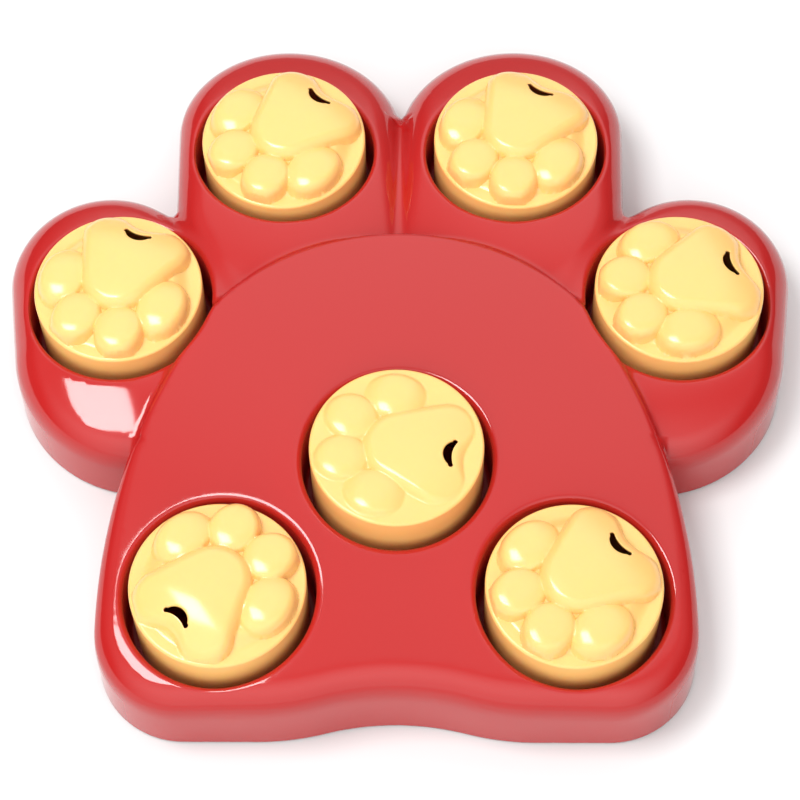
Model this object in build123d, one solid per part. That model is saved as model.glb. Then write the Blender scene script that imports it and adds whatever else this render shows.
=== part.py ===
from build123d import *
import math
import os

# Dog puzzle feeder toy: a moulded shell in the shape of a paw, with seven round
# treat wells, a lift-off lid in each well, and rubber feet under the outer six.
# Millimetres. +Z is up, +Y points to the toes, and z = 0 is the floor.
# Plan positions are given from a point near the axis of the palm's centre well, and
# the whole toy is then centred on its own bounding box.

# ---------------------------------------------------------------- dimensions

# Shell
WALL = 2.5
DRAFT_DEGREES = 1.5
SHELL_CLEARANCE = 1.0          # gap between the shell's bottom edge and the floor
BLOCK_HEIGHT = 70.0            # taller than any crown, so that the crown cuts it

# Lids
LID_RADIUS = 30.0
LID_HEIGHT = 35.0
LID_WALL = 2.2
LID_EDGE_RADIUS = 1.0

# Wells
WELL_GAP = 3.0                 # radial gap round a lid
WELL_FLOOR = 8.0               # height of the floor's upper side
CENTRE_WELL_RISE = 8.0         # the centre well stands this much higher
LIP_RADIUS = 2.0
PALM_WELL_Y = -47.9
PALM_WELL_RIM = 10.6           # from a palm well's bore out to the palm's half width
PALM_WELL_BRIDGE = 10.7        # between the bores of the centre well and a palm well
OUTER_TOE_WELL_SETBACK = 3.5   # from the palm's half width in to the well's axis
OUTER_TOE_WELL_Y = 67.3
INNER_TOE_WELL_BRIDGE = 19.4   # between the bores of the two inner toe wells
INNER_TOE_WELL_Y = 130.7

# Ring on each well floor that keeps the lid centred and holds the treats
RING_CLEARANCE = 0.5
RING_WALL = 2.0
RING_HEIGHT = 4.0

# Palm outline at the foot of the wall
PALM_HALF_WIDTH = 103.5
PALM_CORNER_RADIUS = 30.8
PALM_CORNER_Y = -57.6
PALM_FRONT_HOLLOW = 6.2        # how far the middle of the front is set back
PALM_FRONT_HOLLOW_REACH = 48.0  # from the middle of the front to where it runs straight
PALM_SIDE_RADIUS = 212.0
PALM_SIDE_TURN = 28.0
PALM_SIDE_STRAIGHT = 16.0
PALM_SHOULDER_RADIUS = 50.0
PALM_SHOULDER_TURN = 19.0

# Palm crown, a barrel that is curved along Y and more gently along X
PALM_CROWN_HEIGHT = 43.3
PALM_CROWN_Y = 37.0
PALM_CROWN_RADIUS_Y = 550.0
PALM_CROWN_RADIUS_X = 1200.0
PALM_EDGE_RADIUS = 7.0

# Toe outlines are hulls round three circles, anticlockwise, for the right side.
# Each circle has its x and y from the well's axis and how much wider it is than the bore.
OUTER_TOE_CIRCLES = ((7.5, 14.7, 2.3), (-41.2, -20.4, 6.5), (-9.4, -13.5, 15.6))
INNER_TOE_CIRCLES = ((-1.2, 14.6, 9.4), (-14.7, -55.7, 3.0), (3.8, -24.8, 3.4))

# Toe crowns: x and y of the highest point from the well's axis, and its height
OUTER_TOE_CROWN = (-4.0, 0.7, 38.5)
INNER_TOE_CROWN = (7.3, -18.7, 41.0)
TOE_CROWN_RADIUS = 170.0
OUTER_TOE_EDGE_RADIUS = 12.0
INNER_TOE_EDGE_RADIUS = 10.0

# Ribs that tie the well cups together under the shell
RIB_THICKNESS = 2.0
RIB_FOOT = 16.0

# Rubber feet in ring seats under the outer wells
FOOT_RADIUS = 7.0
FOOT_SEAT_CLEARANCE = 0.2
FOOT_SEAT_WALL = 1.5
FOOT_SEAT_DEPTH = 3.5
FOOT_EDGE_RADIUS = 0.8

# Paw relief on a lid, before the lid is turned: beans towards +Y, heel towards -Y
PAD_FRONT_CIRCLE = (0.0, -1.5, 13.0)
PAD_SIDE_CIRCLE = (10.0, -16.5, 9.8)
PAD_NOTCH_RADIUS = 7.0
PAD_NOTCH_DEPTH = 2.0
PAD_NOTCH_BLEND = 3.0
PAD_RISE = 2.0
PAD_CROWN_RADIUS = 160.0
PAD_EDGE_RADIUS = 0.9
PAD_WALL = 1.8                 # the pad is cored out from below to this thickness
PAD_CORE_INSET = 3.0
OUTER_BEAN = (20.0, 3.7, 7.8, 11.0, 4.0)       # x, y, half width, half length, lean
INNER_BEAN = (8.4, 17.4, 7.8, 9.3, -12.0)
BEAN_RISE = 2.3
BEAN_CROWN_RADIUS = 24.0
BEAN_EDGE_RADIUS = 0.45
SLOT_Y = -19.6
SLOT_LENGTH = 10.0
SLOT_WIDTH = 2.8
SLOT_BOW = 2.6

# Turn of each lid about its own axis, in degrees
LID_TURNS = {
    "toe_lid_outer_left": 160.0,
    "toe_lid_inner_left": 138.0,
    "toe_lid_inner_right": 152.0,
    "toe_lid_outer_right": 109.0,
    "palm_lid_centre": 79.0,
    "palm_lid_left": -40.0,
    "palm_lid_right": 128.0,
}

# ------------------------------------------------------------------- derived

WELL_RADIUS = LID_RADIUS + WELL_GAP
LID_BORE_RADIUS = LID_RADIUS - LID_WALL
RING_RADIUS = LID_BORE_RADIUS - RING_CLEARANCE
FOOT_SEAT_RADIUS = FOOT_RADIUS + FOOT_SEAT_CLEARANCE

PALM_WELL_X = PALM_HALF_WIDTH - PALM_WELL_RIM - WELL_RADIUS
CENTRE_WELL_SPACING = 2 * WELL_RADIUS + PALM_WELL_BRIDGE
CENTRE_WELL_Y = PALM_WELL_Y + math.sqrt(CENTRE_WELL_SPACING ** 2 - PALM_WELL_X ** 2)
PALM_WELL = (PALM_WELL_X, PALM_WELL_Y)
OUTER_TOE_WELL = (PALM_HALF_WIDTH - OUTER_TOE_WELL_SETBACK, OUTER_TOE_WELL_Y)
INNER_TOE_WELL = (WELL_RADIUS + INNER_TOE_WELL_BRIDGE / 2, INNER_TOE_WELL_Y)

# Well axes: name of the lid, and x, y and floor height
WELLS = {
    "toe_lid_outer_left": (-OUTER_TOE_WELL[0], OUTER_TOE_WELL[1], WELL_FLOOR),
    "toe_lid_inner_left": (-INNER_TOE_WELL[0], INNER_TOE_WELL[1], WELL_FLOOR),
    "toe_lid_inner_right": (INNER_TOE_WELL[0], INNER_TOE_WELL[1], WELL_FLOOR),
    "toe_lid_outer_right": (OUTER_TOE_WELL[0], OUTER_TOE_WELL[1], WELL_FLOOR),
    "palm_lid_centre": (0.0, CENTRE_WELL_Y, WELL_FLOOR + CENTRE_WELL_RISE),
    "palm_lid_left": (-PALM_WELL[0], PALM_WELL[1], WELL_FLOOR),
    "palm_lid_right": (PALM_WELL[0], PALM_WELL[1], WELL_FLOOR),
}

RIB_PAIRS = (
    ("palm_lid_centre", "palm_lid_left"),
    ("palm_lid_centre", "palm_lid_right"),
    ("palm_lid_centre", "toe_lid_inner_left"),
    ("palm_lid_centre", "toe_lid_inner_right"),
    ("palm_lid_left", "toe_lid_outer_left"),
    ("palm_lid_right", "toe_lid_outer_right"),
    ("toe_lid_outer_left", "toe_lid_inner_left"),
    ("toe_lid_outer_right", "toe_lid_inner_right"),
)

FEET = {
    "foot_toe_outer_left": "toe_lid_outer_left",
    "foot_toe_inner_left": "toe_lid_inner_left",
    "foot_toe_inner_right": "toe_lid_inner_right",
    "foot_toe_outer_right": "toe_lid_outer_right",
    "foot_palm_left": "palm_lid_left",
    "foot_palm_right": "palm_lid_right",
}

# The toy's reach in Y sets where the wells lie from the middle of the toy
BACK_REACH = INNER_TOE_WELL_Y + INNER_TOE_CIRCLES[0][1] + WELL_RADIUS + INNER_TOE_CIRCLES[0][2]
FRONT_REACH = PALM_CORNER_Y - PALM_CORNER_RADIUS
CENTRING = Pos(0, -(BACK_REACH + FRONT_REACH) / 2, 0)


# ------------------------------------------------------------------ outlines

def smooth_chain(start, heading, steps):
    """Edges of tangent arcs (radius, turn) and straights (length, 0); left turns are positive."""
    x, y = start
    edges = []
    for size, turn in steps:
        if turn == 0:
            end = (x + size * math.cos(heading), y + size * math.sin(heading))
            edges.append(Line((x, y), end))
        else:
            side = math.copysign(1.0, turn)
            centre_x = x - side * size * math.sin(heading)
            centre_y = y + side * size * math.cos(heading)

            def on_arc(angle):
                return (centre_x + side * size * math.sin(angle),
                        centre_y - side * size * math.cos(angle))

            swing = math.radians(turn)
            end = on_arc(heading + swing)
            edges.append(ThreePointArc((x, y), on_arc(heading + swing / 2), end))
            heading += swing
        x, y = end
    return edges, (x, y), heading


def palm_outline(inset):
    """Palm outline, inset evenly: a hollow front, round corners, curved sides, a round back."""
    corner_x = PALM_HALF_WIDTH - PALM_CORNER_RADIUS
    front_y = PALM_CORNER_Y - PALM_CORNER_RADIUS
    s_reach = PALM_FRONT_HOLLOW_REACH
    s_radius = (s_reach ** 2 + PALM_FRONT_HOLLOW ** 2) / (4 * PALM_FRONT_HOLLOW)
    s_turn = math.degrees(math.asin(s_reach / 2 / s_radius))
    steps = [
        (s_radius + inset, -s_turn),
        (s_radius - inset, s_turn),
        (corner_x - s_reach, 0),
        (PALM_CORNER_RADIUS - inset, 90.0),
        (PALM_SIDE_RADIUS - inset, PALM_SIDE_TURN),
        (PALM_SIDE_STRAIGHT, 0),
        (PALM_SHOULDER_RADIUS - inset, PALM_SHOULDER_TURN),
    ]
    start = (0.0, front_y + PALM_FRONT_HOLLOW + inset)
    right_side, (x, y), heading = smooth_chain(start, 0.0, steps)
    back_radius = x / math.sin(heading)
    back_turn = 180.0 - math.degrees(heading)
    back, _, _ = smooth_chain((x, y), heading, [(back_radius, back_turn)])
    right_side += back
    left_side = [mirror(edge, about=Plane.YZ) for edge in right_side]
    return make_face(right_side + left_side)


def toe_outline(circles, side, inset):
    """Smooth hull round the lobe's three circles, mirrored to the given side (-1 left, +1 right)."""
    count = len(circles)
    straights = []
    for index, (x, y, radius) in enumerate(circles):
        next_x, next_y, next_radius = circles[(index + 1) % count]
        growth = next_radius - radius
        gap = math.hypot(next_x - x, next_y - y)
        length = math.sqrt(gap ** 2 - growth ** 2)
        heading = math.atan2(next_y - y, next_x - x) - math.atan2(growth, length)
        straights.append((length, heading))
    steps = []
    for index, (length, heading) in enumerate(straights):
        next_heading = straights[(index + 1) % count][1]
        next_radius = circles[(index + 1) % count][2]
        steps.append((length, 0))
        steps.append((next_radius - inset, math.degrees(next_heading - heading) % 360))
    first_x, first_y, first_radius = circles[0]
    first_heading = straights[0][1]
    start = (first_x + (first_radius - inset) * math.sin(first_heading),
             first_y - (first_radius - inset) * math.cos(first_heading))
    edges, _, _ = smooth_chain(start, first_heading, steps)
    outline = make_face(edges)
    return outline if side > 0 else mirror(outline, about=Plane.YZ)


# -------------------------------------------------------------------- pillow

def ball_crown(x, y, top, radius):
    """A ball whose highest point is at x, y, top, with its poles turned to the sides."""
    return Pos(x, y, top - radius) * Rot(90, 0, 0) * Sphere(radius)


def palm_crown(top):
    """A barrel along Y; its seam is underneath, away from the palm's surface."""
    reach = 2 * PALM_HALF_WIDTH
    sag = PALM_CROWN_RADIUS_Y - math.sqrt(PALM_CROWN_RADIUS_Y ** 2 - reach ** 2)
    axis_z = top - PALM_CROWN_RADIUS_X
    low = axis_z - PALM_CROWN_RADIUS_X
    front = PALM_CROWN_Y - reach
    back = PALM_CROWN_Y + reach
    profile = make_face([
        ThreePointArc((0, front, low + sag), (0, PALM_CROWN_Y, low), (0, back, low + sag)),
        Line((0, back, low + sag), (0, back, axis_z)),
        Line((0, back, axis_z), (0, front, axis_z)),
        Line((0, front, axis_z), (0, front, low + sag)),
    ])
    return revolve(profile, Axis((0, 0, axis_z), (0, 1, 0)))


def pillow(outline, crown, edge_radius, draft=0.0):
    """A block on the outline with a crowned top whose edge is rounded."""
    block = extrude(outline, amount=BLOCK_HEIGHT, taper=draft)
    body = block & crown
    rim = body.faces().sort_by(Axis.Z)[-1].edges()
    return fillet(rim, edge_radius)


def palm_lobe(inset):
    return pillow(
        Pos(0, 0, foot_height(inset)) * palm_outline(inset),
        palm_crown(PALM_CROWN_HEIGHT - inset),
        PALM_EDGE_RADIUS - inset,
        DRAFT_DEGREES,
    )


def toe_lobe(well, circles, crown, edge_radius, side, inset):
    """A toe round its well, mirrored to the given side."""
    well_x, well_y = well
    placed = [(well_x + x, well_y + y, WELL_RADIUS + wider) for x, y, wider in circles]
    x, y, top = crown
    return pillow(
        Pos(0, 0, foot_height(inset)) * toe_outline(placed, side, inset),
        ball_crown(side * (well_x + x), well_y + y, top - inset, TOE_CROWN_RADIUS - inset),
        edge_radius - inset,
        DRAFT_DEGREES,
    )


def foot_height(inset):
    """The shell ends just above the floor, and its cavity is cut right through there."""
    return SHELL_CLEARANCE if inset == 0 else SHELL_CLEARANCE - WALL


def paw_lobes(inset):
    """The five lobes, each with the names of its wells; an inset gives the cavity's lobes."""
    lobes = [(palm_lobe(inset), ("palm_lid_centre", "palm_lid_left", "palm_lid_right"))]
    for side, hand in ((-1, "left"), (1, "right")):
        outer_toe = toe_lobe(
            OUTER_TOE_WELL, OUTER_TOE_CIRCLES, OUTER_TOE_CROWN, OUTER_TOE_EDGE_RADIUS, side, inset)
        inner_toe = toe_lobe(
            INNER_TOE_WELL, INNER_TOE_CIRCLES, INNER_TOE_CROWN, INNER_TOE_EDGE_RADIUS, side, inset)
        lobes.append((outer_toe, (f"toe_lid_outer_{hand}",)))
        lobes.append((inner_toe, (f"toe_lid_inner_{hand}",)))
    return lobes


# ---------------------------------------------------------------------- base

def well_cylinder(name, radius, low, high):
    """An upright cylinder on a well's axis, from height low to height high."""
    x, y, _ = WELLS[name]
    bottom = (Align.CENTER, Align.CENTER, Align.MIN)
    return Pos(x, y, low) * Cylinder(radius, high - low, align=bottom)


def bore_well(lobe, name):
    """Cut a well into a lobe and round the lip where it opens through the crowned top."""
    x, y, floor = WELLS[name]
    lobe -= well_cylinder(name, WELL_RADIUS, floor, BLOCK_HEIGHT)
    lips = []
    for edge in lobe.edges():
        middle = edge.position_at(0.5)
        on_well = abs(math.hypot(middle.X - x, middle.Y - y) - WELL_RADIUS) < 0.01
        if on_well and edge.geom_type != GeomType.LINE and middle.Z > floor + RING_HEIGHT:
            lips.append(edge)
    return fillet(lips, LIP_RADIUS)


def rib(pair):
    """An upright plate between two well axes, which ties their cups to the shell above."""
    (x1, y1, _), (x2, y2, _) = (WELLS[name] for name in pair)
    length = math.hypot(x2 - x1, y2 - y1)
    turn = math.degrees(math.atan2(y2 - y1, x2 - x1))
    plate = Box(length, RIB_THICKNESS, BLOCK_HEIGHT, align=(Align.CENTER, Align.CENTER, Align.MIN))
    return Pos((x1 + x2) / 2, (y1 + y2) / 2, RIB_FOOT) * Rot(0, 0, turn) * plate


def base_shell():
    """The red shell: five lobes, seven cups with floors and rings, ribs and foot seats."""
    bored = []
    for lobe, names in paw_lobes(0):
        for name in names:
            lobe = bore_well(lobe, name)
        bored.append(lobe)
    body = bored[0] + bored[1:]
    for name, (_, _, floor) in WELLS.items():
        body -= well_cylinder(name, WELL_RADIUS, floor, BLOCK_HEIGHT)

    lobes = [lobe for lobe, _ in paw_lobes(WALL)]
    cavity = lobes[0] + lobes[1:]
    for name, (_, _, floor) in WELLS.items():
        cavity -= well_cylinder(name, WELL_RADIUS + WALL, floor - WALL, BLOCK_HEIGHT)
    for pair in RIB_PAIRS:
        cavity -= rib(pair)
    body -= cavity

    for name, (_, _, floor) in WELLS.items():
        ring = well_cylinder(name, RING_RADIUS, floor, floor + RING_HEIGHT)
        body += ring - well_cylinder(name, RING_RADIUS - RING_WALL, floor, floor + RING_HEIGHT)
    for name in FEET.values():
        under = WELL_FLOOR - WALL
        seat = well_cylinder(name, FOOT_SEAT_RADIUS + FOOT_SEAT_WALL, under - FOOT_SEAT_DEPTH, under)
        seat -= well_cylinder(name, FOOT_SEAT_RADIUS, under - FOOT_SEAT_DEPTH, under)
        body += seat
    return body


# ---------------------------------------------------------------------- lids

def pad_triangle(inset):
    """The rounded triangle that the main pad is cut from."""
    side_x, side_y, side_radius = PAD_SIDE_CIRCLE
    circles = (PAD_FRONT_CIRCLE, (-side_x, side_y, side_radius), PAD_SIDE_CIRCLE)
    return toe_outline(circles, 1, inset)


def pad_outline():
    """Main pad of the paw: a rounded triangle with a shallow notch in its heel."""
    heel_y = PAD_SIDE_CIRCLE[1] - PAD_SIDE_CIRCLE[2]
    notch = Pos(0, heel_y - PAD_NOTCH_RADIUS + PAD_NOTCH_DEPTH) * Circle(PAD_NOTCH_RADIUS)
    pad = pad_triangle(0) - notch
    corners = pad.vertices().group_by(Axis.Y)[0]
    return fillet(corners, PAD_NOTCH_BLEND)


def bean_outline(bean, side):
    x, y, half_width, half_length, lean = bean
    return Pos(side * x, y) * Rot(0, 0, side * lean) * Ellipse(half_width, half_length)


def slot_outline():
    """Crescent slot, bowed towards the beans."""
    half = SLOT_LENGTH / 2
    outer_y = SLOT_Y + SLOT_BOW
    inner_y = outer_y - SLOT_WIDTH
    outer = ThreePointArc((-half, SLOT_Y - SLOT_BOW / 2), (0, outer_y), (half, SLOT_Y - SLOT_BOW / 2))
    inner = ThreePointArc(outer @ 1, (0, inner_y), outer @ 0)
    return make_face([outer, inner])


def lid_blank():
    """The yellow lid, standing on z = 0 with its beans towards +Y."""
    bottom = (Align.CENTER, Align.CENTER, Align.MIN)
    cap = Cylinder(LID_RADIUS, LID_HEIGHT, align=bottom)
    cap = fillet(cap.edges().sort_by(Axis.Z)[-1], LID_EDGE_RADIUS)
    cap -= Cylinder(LID_BORE_RADIUS, LID_HEIGHT - LID_WALL, align=bottom)

    crown = ball_crown(0, PAD_SIDE_CIRCLE[1] / 2, LID_HEIGHT + PAD_RISE, PAD_CROWN_RADIUS)
    reliefs = [pillow(Pos(0, 0, LID_HEIGHT - LID_WALL / 2) * pad_outline(), crown, PAD_EDGE_RADIUS)]
    for bean in (OUTER_BEAN, INNER_BEAN):
        for side in (-1, 1):
            crown = ball_crown(side * bean[0], bean[1], LID_HEIGHT + BEAN_RISE, BEAN_CROWN_RADIUS)
            outline = Pos(0, 0, LID_HEIGHT - LID_WALL / 2) * bean_outline(bean, side)
            reliefs.append(pillow(outline, crown, BEAN_EDGE_RADIUS))
    cap += reliefs
    core = extrude(pad_triangle(PAD_CORE_INSET), amount=LID_HEIGHT + PAD_RISE - PAD_WALL)
    return cap - core - extrude(slot_outline(), amount=BLOCK_HEIGHT)


def lid(blank, name):
    x, y, floor = WELLS[name]
    return Pos(x, y, floor) * Rot(0, 0, LID_TURNS[name]) * blank


# ---------------------------------------------------------------------- feet

def foot(name):
    """A rubber disc with a softened lower edge, seated against the underside of a well floor."""
    disc = well_cylinder(name, FOOT_RADIUS, 0, WELL_FLOOR - WALL)
    return fillet(disc.edges().group_by(Axis.Z)[0], FOOT_EDGE_RADIUS)


# -------------------------------------------------------------------- output

def write(part, name):
    export_step(CENTRING * part, f"parts/{name}.step")


os.makedirs("parts", exist_ok=True)
write(base_shell(), "base_shell")
blank = lid_blank()
for lid_name in WELLS:
    write(lid(blank, lid_name), lid_name)
for foot_name, well_name in FEET.items():
    write(foot(well_name), foot_name)
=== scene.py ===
"""Dog puzzle feeder toy: a moulded paw with seven treat wells, lift-off lids and rubber feet.

Sizes are in millimetres and are turned to metres when a mesh is made. The paw's outer skin is
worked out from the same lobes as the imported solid, with the soft blends that the mould gives
where two lobes meet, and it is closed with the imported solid's own hollow underside.
"""

import math

import bmesh
import bpy
import numpy as np
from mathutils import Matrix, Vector
from mathutils.geometry import delaunay_2d_cdt


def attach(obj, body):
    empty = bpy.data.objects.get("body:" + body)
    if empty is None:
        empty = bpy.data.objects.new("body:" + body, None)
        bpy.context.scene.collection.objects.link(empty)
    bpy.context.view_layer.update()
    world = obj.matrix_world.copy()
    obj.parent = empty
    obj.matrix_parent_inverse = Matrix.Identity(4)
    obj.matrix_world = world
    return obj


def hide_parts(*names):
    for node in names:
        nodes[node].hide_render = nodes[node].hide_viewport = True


MM = 0.001

# ------------------------------------------------------------------- sizes

# Well axes in plan and the height of each well's floor
WELLS = {
    "toe_lid_outer_left": (-100.0, 17.65, 8.0),
    "toe_lid_inner_left": (-42.7, 81.05, 8.0),
    "toe_lid_inner_right": (42.7, 81.05, 8.0),
    "toe_lid_outer_right": (100.0, 17.65, 8.0),
    "palm_lid_centre": (0.0, -49.65, 16.0),
    "palm_lid_left": (-59.9, -97.55, 8.0),
    "palm_lid_right": (59.9, -97.55, 8.0),
}
WELL_RADIUS = 33.0
LIP_RADIUS = 2.2
RING_OUTSIDE = 27.3
RING_INSIDE = 25.3
RING_HEIGHT = 4.0
WELL_CORNER_RADIUS = 1.5
RING_EDGE_RADIUS = 0.6

# Shell
CENTRE_Y = -49.65
SHELL_FOOT = 1.0
DRAFT = math.radians(1.5)

# Toe lobes: three circles (x, y, radius), anticlockwise, for the right side
OUTER_TOE_CIRCLES = ((107.5, 82.0, 35.3), (58.8, 46.9, 39.5), (90.6, 53.8, 48.6))
INNER_TOE_CIRCLES = ((41.5, 145.3, 42.4), (28.0, 75.0, 36.0), (46.5, 105.9, 36.4))
OUTER_TOE_CROWN = (96.0, 68.0, 38.5)
INNER_TOE_CROWN = (50.0, 112.0, 41.0)
# How a toe's crown bends in front of its top and behind it, how far inside the outline its
# shoulder starts, and how that bends
OUTER_TOE_BEND = (300.0, 250.0, 27.0, 105.0)
INNER_TOE_BEND = (170.0, 170.0, 12.0, 400.0)
TOE_BEND_CHANGE = 40.0                   # length over which one bend gives way to the other
TOE_EDGE_RADII = ((-55.0, 7.0), (-15.0, 11.0))   # y from the crown and radius

# Palm lobe
PALM_HALF_WIDTH = 103.5
PALM_CORNER_RADIUS = 30.8
PALM_CORNER_Y = -57.6
PALM_FRONT_HOLLOW = 6.2
PALM_FRONT_HOLLOW_REACH = 48.0
PALM_SIDE_RADIUS = 212.0
PALM_SIDE_TURN = 28.0
PALM_SIDE_STRAIGHT = 16.0
PALM_SHOULDER_RADIUS = 50.0
PALM_SHOULDER_TURN = 19.0
PALM_CROWN_HEIGHT = 43.3
PALM_CROWN_Y = 37.0
PALM_CROWN_RADIUS_Y = 550.0
PALM_CROWN_RADIUS_X = 1200.0
PALM_SLOPE_START = 47.0                  # in front of the crown's top the palm slopes evenly
PALM_EDGE_RADII = ((-70.0, 9.0), (-20.0, 6.0), (20.0, 3.0), (60.0, 1.8))   # y and radius

# Soft blends in the hollows between lobes
TOE_VALLEY_BLEND = 3.5
PALM_FOOT_BLEND = 2.0

# Lid: a cup turned over; heights are from its foot
LID_RADIUS = 30.0
LID_BORE_RADIUS = 27.8
LID_HEIGHT = 35.0
LID_EDGE_RADIUS = 1.0
LID_WALL = 2.0

# Paw relief on a lid before it is turned: beans towards +Y, heel towards -Y
PUFF_DRAFT = math.radians(5)
GROOVE_BLEND = 0.3
PLATEAU_FALL = 0.8
PLATEAU_REACH = (19.5, 26.0)                     # of its top and of its foot
PUFF_EDGE_RADII = ((14.0, 1.1), (20.0, 1.3), (25.0, 2.2), (28.0, 2.8))   # from the axis, radius
PAD_EDGE_RADIUS = 3.4
PAD_CIRCLES = ((0.0, -1.5, 13.5), (-10.0, -17.0, 10.1), (10.0, -17.0, 10.1))
PAD_NOTCH = (-31.0, 7.0, 4.5)                    # y of the centre, radius, blend
PAD_CROWN_Y = -6.0
PAD_HEEL_START = -9.0                            # y where the crown turns down to the heel
BEAN_CROWN_RADIUS = 14.5
BEAN_CROWN_FLAT = 2.6                            # half width of its level middle
# Heights over the rim of the plateau, the beans and the pad, and the radii in which the pad's
# crown falls sideways, towards the beans and at the heel
RELIEF = (4.0, 6.7, 9.2, (80.0, 90.0, 24.0))
CENTRE_RELIEF = (0.0, 2.5, 3.5, (110.0, 110.0, 50.0))
OUTER_BEAN = (19.1, 4.2, 8.9, 12.0, 4.0)         # x, y, half width, half length, lean
INNER_BEAN = (8.2, 17.9, 8.9, 10.1, -16.0)
SLOT_Y = -18.6
SLOT_HALF_LENGTH = 5.5
SLOT_WIDTH = 3.1
SLOT_BOW = 2.4
SLOT_EDGE = 0.3
SLOT_LAND = 0.9                                  # thickness left round the slot
LID_TURNS = {
    "toe_lid_outer_left": 160.0,
    "toe_lid_inner_left": 138.0,
    "toe_lid_inner_right": 152.0,
    "toe_lid_outer_right": 109.0,
    "palm_lid_centre": 79.0,
    "palm_lid_left": -40.0,
    "palm_lid_right": 128.0,
}


# ------------------------------------------------------- outlines in plan

def smooth_chain(start, heading, steps):
    """Tangent arcs (radius, turn) and straights (length, 0) as tuples; left turns are positive."""
    x, y = start
    pieces = []
    for size, turn in steps:
        if turn == 0:
            pieces.append(("straight", x, y, heading, size))
            x += size * math.cos(heading)
            y += size * math.sin(heading)
            continue
        side = math.copysign(1.0, turn)
        centre_x = x - side * size * math.sin(heading)
        centre_y = y + side * size * math.cos(heading)
        swing = math.radians(turn)
        pieces.append(("arc", centre_x, centre_y, heading, size, swing))
        heading += swing
        x = centre_x + side * size * math.sin(heading)
        y = centre_y - side * size * math.cos(heading)
    return pieces, (x, y), heading


def palm_chain():
    """The palm's right half as tangent arcs, from the middle of its front to the middle behind."""
    corner_x = PALM_HALF_WIDTH - PALM_CORNER_RADIUS
    front_y = PALM_CORNER_Y - PALM_CORNER_RADIUS
    s_radius = (PALM_FRONT_HOLLOW_REACH ** 2 + PALM_FRONT_HOLLOW ** 2) / (4 * PALM_FRONT_HOLLOW)
    s_turn = math.degrees(math.asin(PALM_FRONT_HOLLOW_REACH / 2 / s_radius))
    steps = [
        (s_radius, -s_turn),
        (s_radius, s_turn),
        (corner_x - PALM_FRONT_HOLLOW_REACH, 0),
        (PALM_CORNER_RADIUS, 90.0),
        (PALM_SIDE_RADIUS, PALM_SIDE_TURN),
        (PALM_SIDE_STRAIGHT, 0),
        (PALM_SHOULDER_RADIUS, PALM_SHOULDER_TURN),
    ]
    pieces, (x, y), heading = smooth_chain((0.0, front_y + PALM_FRONT_HOLLOW), 0.0, steps)
    back_radius = x / math.sin(heading)
    back, _, _ = smooth_chain((x, y), heading, [(back_radius, 180.0 - math.degrees(heading))])
    return pieces + back


def toe_chain(circles):
    """The smooth hull round three circles."""
    count = len(circles)
    straights = []
    for index, (x, y, radius) in enumerate(circles):
        next_x, next_y, next_radius = circles[(index + 1) % count]
        growth = next_radius - radius
        gap = math.hypot(next_x - x, next_y - y)
        length = math.sqrt(gap ** 2 - growth ** 2)
        heading = math.atan2(next_y - y, next_x - x) - math.atan2(growth, length)
        straights.append((length, heading))
    steps = []
    for index, (length, heading) in enumerate(straights):
        next_heading = straights[(index + 1) % count][1]
        next_radius = circles[(index + 1) % count][2]
        steps.append((length, 0))
        steps.append((next_radius, math.degrees(next_heading - heading) % 360))
    first_x, first_y, first_radius = circles[0]
    heading = straights[0][1]
    start = (first_x + first_radius * math.sin(heading), first_y - first_radius * math.cos(heading))
    return smooth_chain(start, heading, steps)[0]


def outline_distance(pieces, x, y):
    """Distance to a closed smooth outline, negative inside it."""
    best = np.full(x.shape, 1e3)
    for piece in pieces:
        if piece[0] == "straight":
            _, start_x, start_y, heading, length = piece
            along = (x - start_x) * math.cos(heading) + (y - start_y) * math.sin(heading)
            distance = (x - start_x) * math.sin(heading) - (y - start_y) * math.cos(heading)
            beside = (along > -1e-6) & (along < length + 1e-6)
        else:
            _, centre_x, centre_y, heading, radius, swing = piece
            side = math.copysign(1.0, swing)
            angle = np.arctan2(y - centre_y, x - centre_x) + side * math.pi / 2
            turned = (side * (angle - heading) + 1e-6) % (2 * math.pi)
            distance = side * (np.hypot(x - centre_x, y - centre_y) - radius)
            beside = turned < abs(swing) + 2e-6
        nearer = beside & (np.abs(distance) < np.abs(best))
        best = np.where(nearer, distance, best)
    return best


# ------------------------------------------------------ the paw as lobes

def rounded_meet(a, b, radius):
    """Where two solids are both present, with their common edge rounded."""
    over_a = np.maximum(a + radius, 0)
    over_b = np.maximum(b + radius, 0)
    return np.minimum(np.maximum(a + radius, b + radius), 0) + np.hypot(over_a, over_b) - radius


def blended_join(a, b, radius):
    """Two solids joined, with a hollow blend of the radius where they meet."""
    under_a = np.maximum(radius - a, 0)
    under_b = np.maximum(radius - b, 0)
    return np.maximum(radius, np.minimum(a, b)) - np.hypot(under_a, under_b)


PALM_CHAIN = palm_chain()
OUTER_TOE_CHAIN = toe_chain(OUTER_TOE_CIRCLES)
INNER_TOE_CHAIN = toe_chain(INNER_TOE_CIRCLES)


def wall_distance(outline, z):
    return (outline + (z - SHELL_FOOT) * math.tan(DRAFT)) * math.cos(DRAFT)


def palm_distance(x, y, z):
    """The palm: a drafted wall under a crown that slopes evenly in front."""
    wall = wall_distance(outline_distance(PALM_CHAIN, np.abs(x), y), z)
    ahead = PALM_CROWN_Y - y
    beyond = np.maximum(ahead - PALM_SLOPE_START, 0)
    fall = (ahead ** 2 - beyond ** 2) / (2 * PALM_CROWN_RADIUS_Y) + x ** 2 / (2 * PALM_CROWN_RADIUS_X)
    crown = z - PALM_CROWN_HEIGHT + fall
    return rounded_meet(wall, crown, np.interp(y, *zip(*PALM_EDGE_RADII)))


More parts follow.
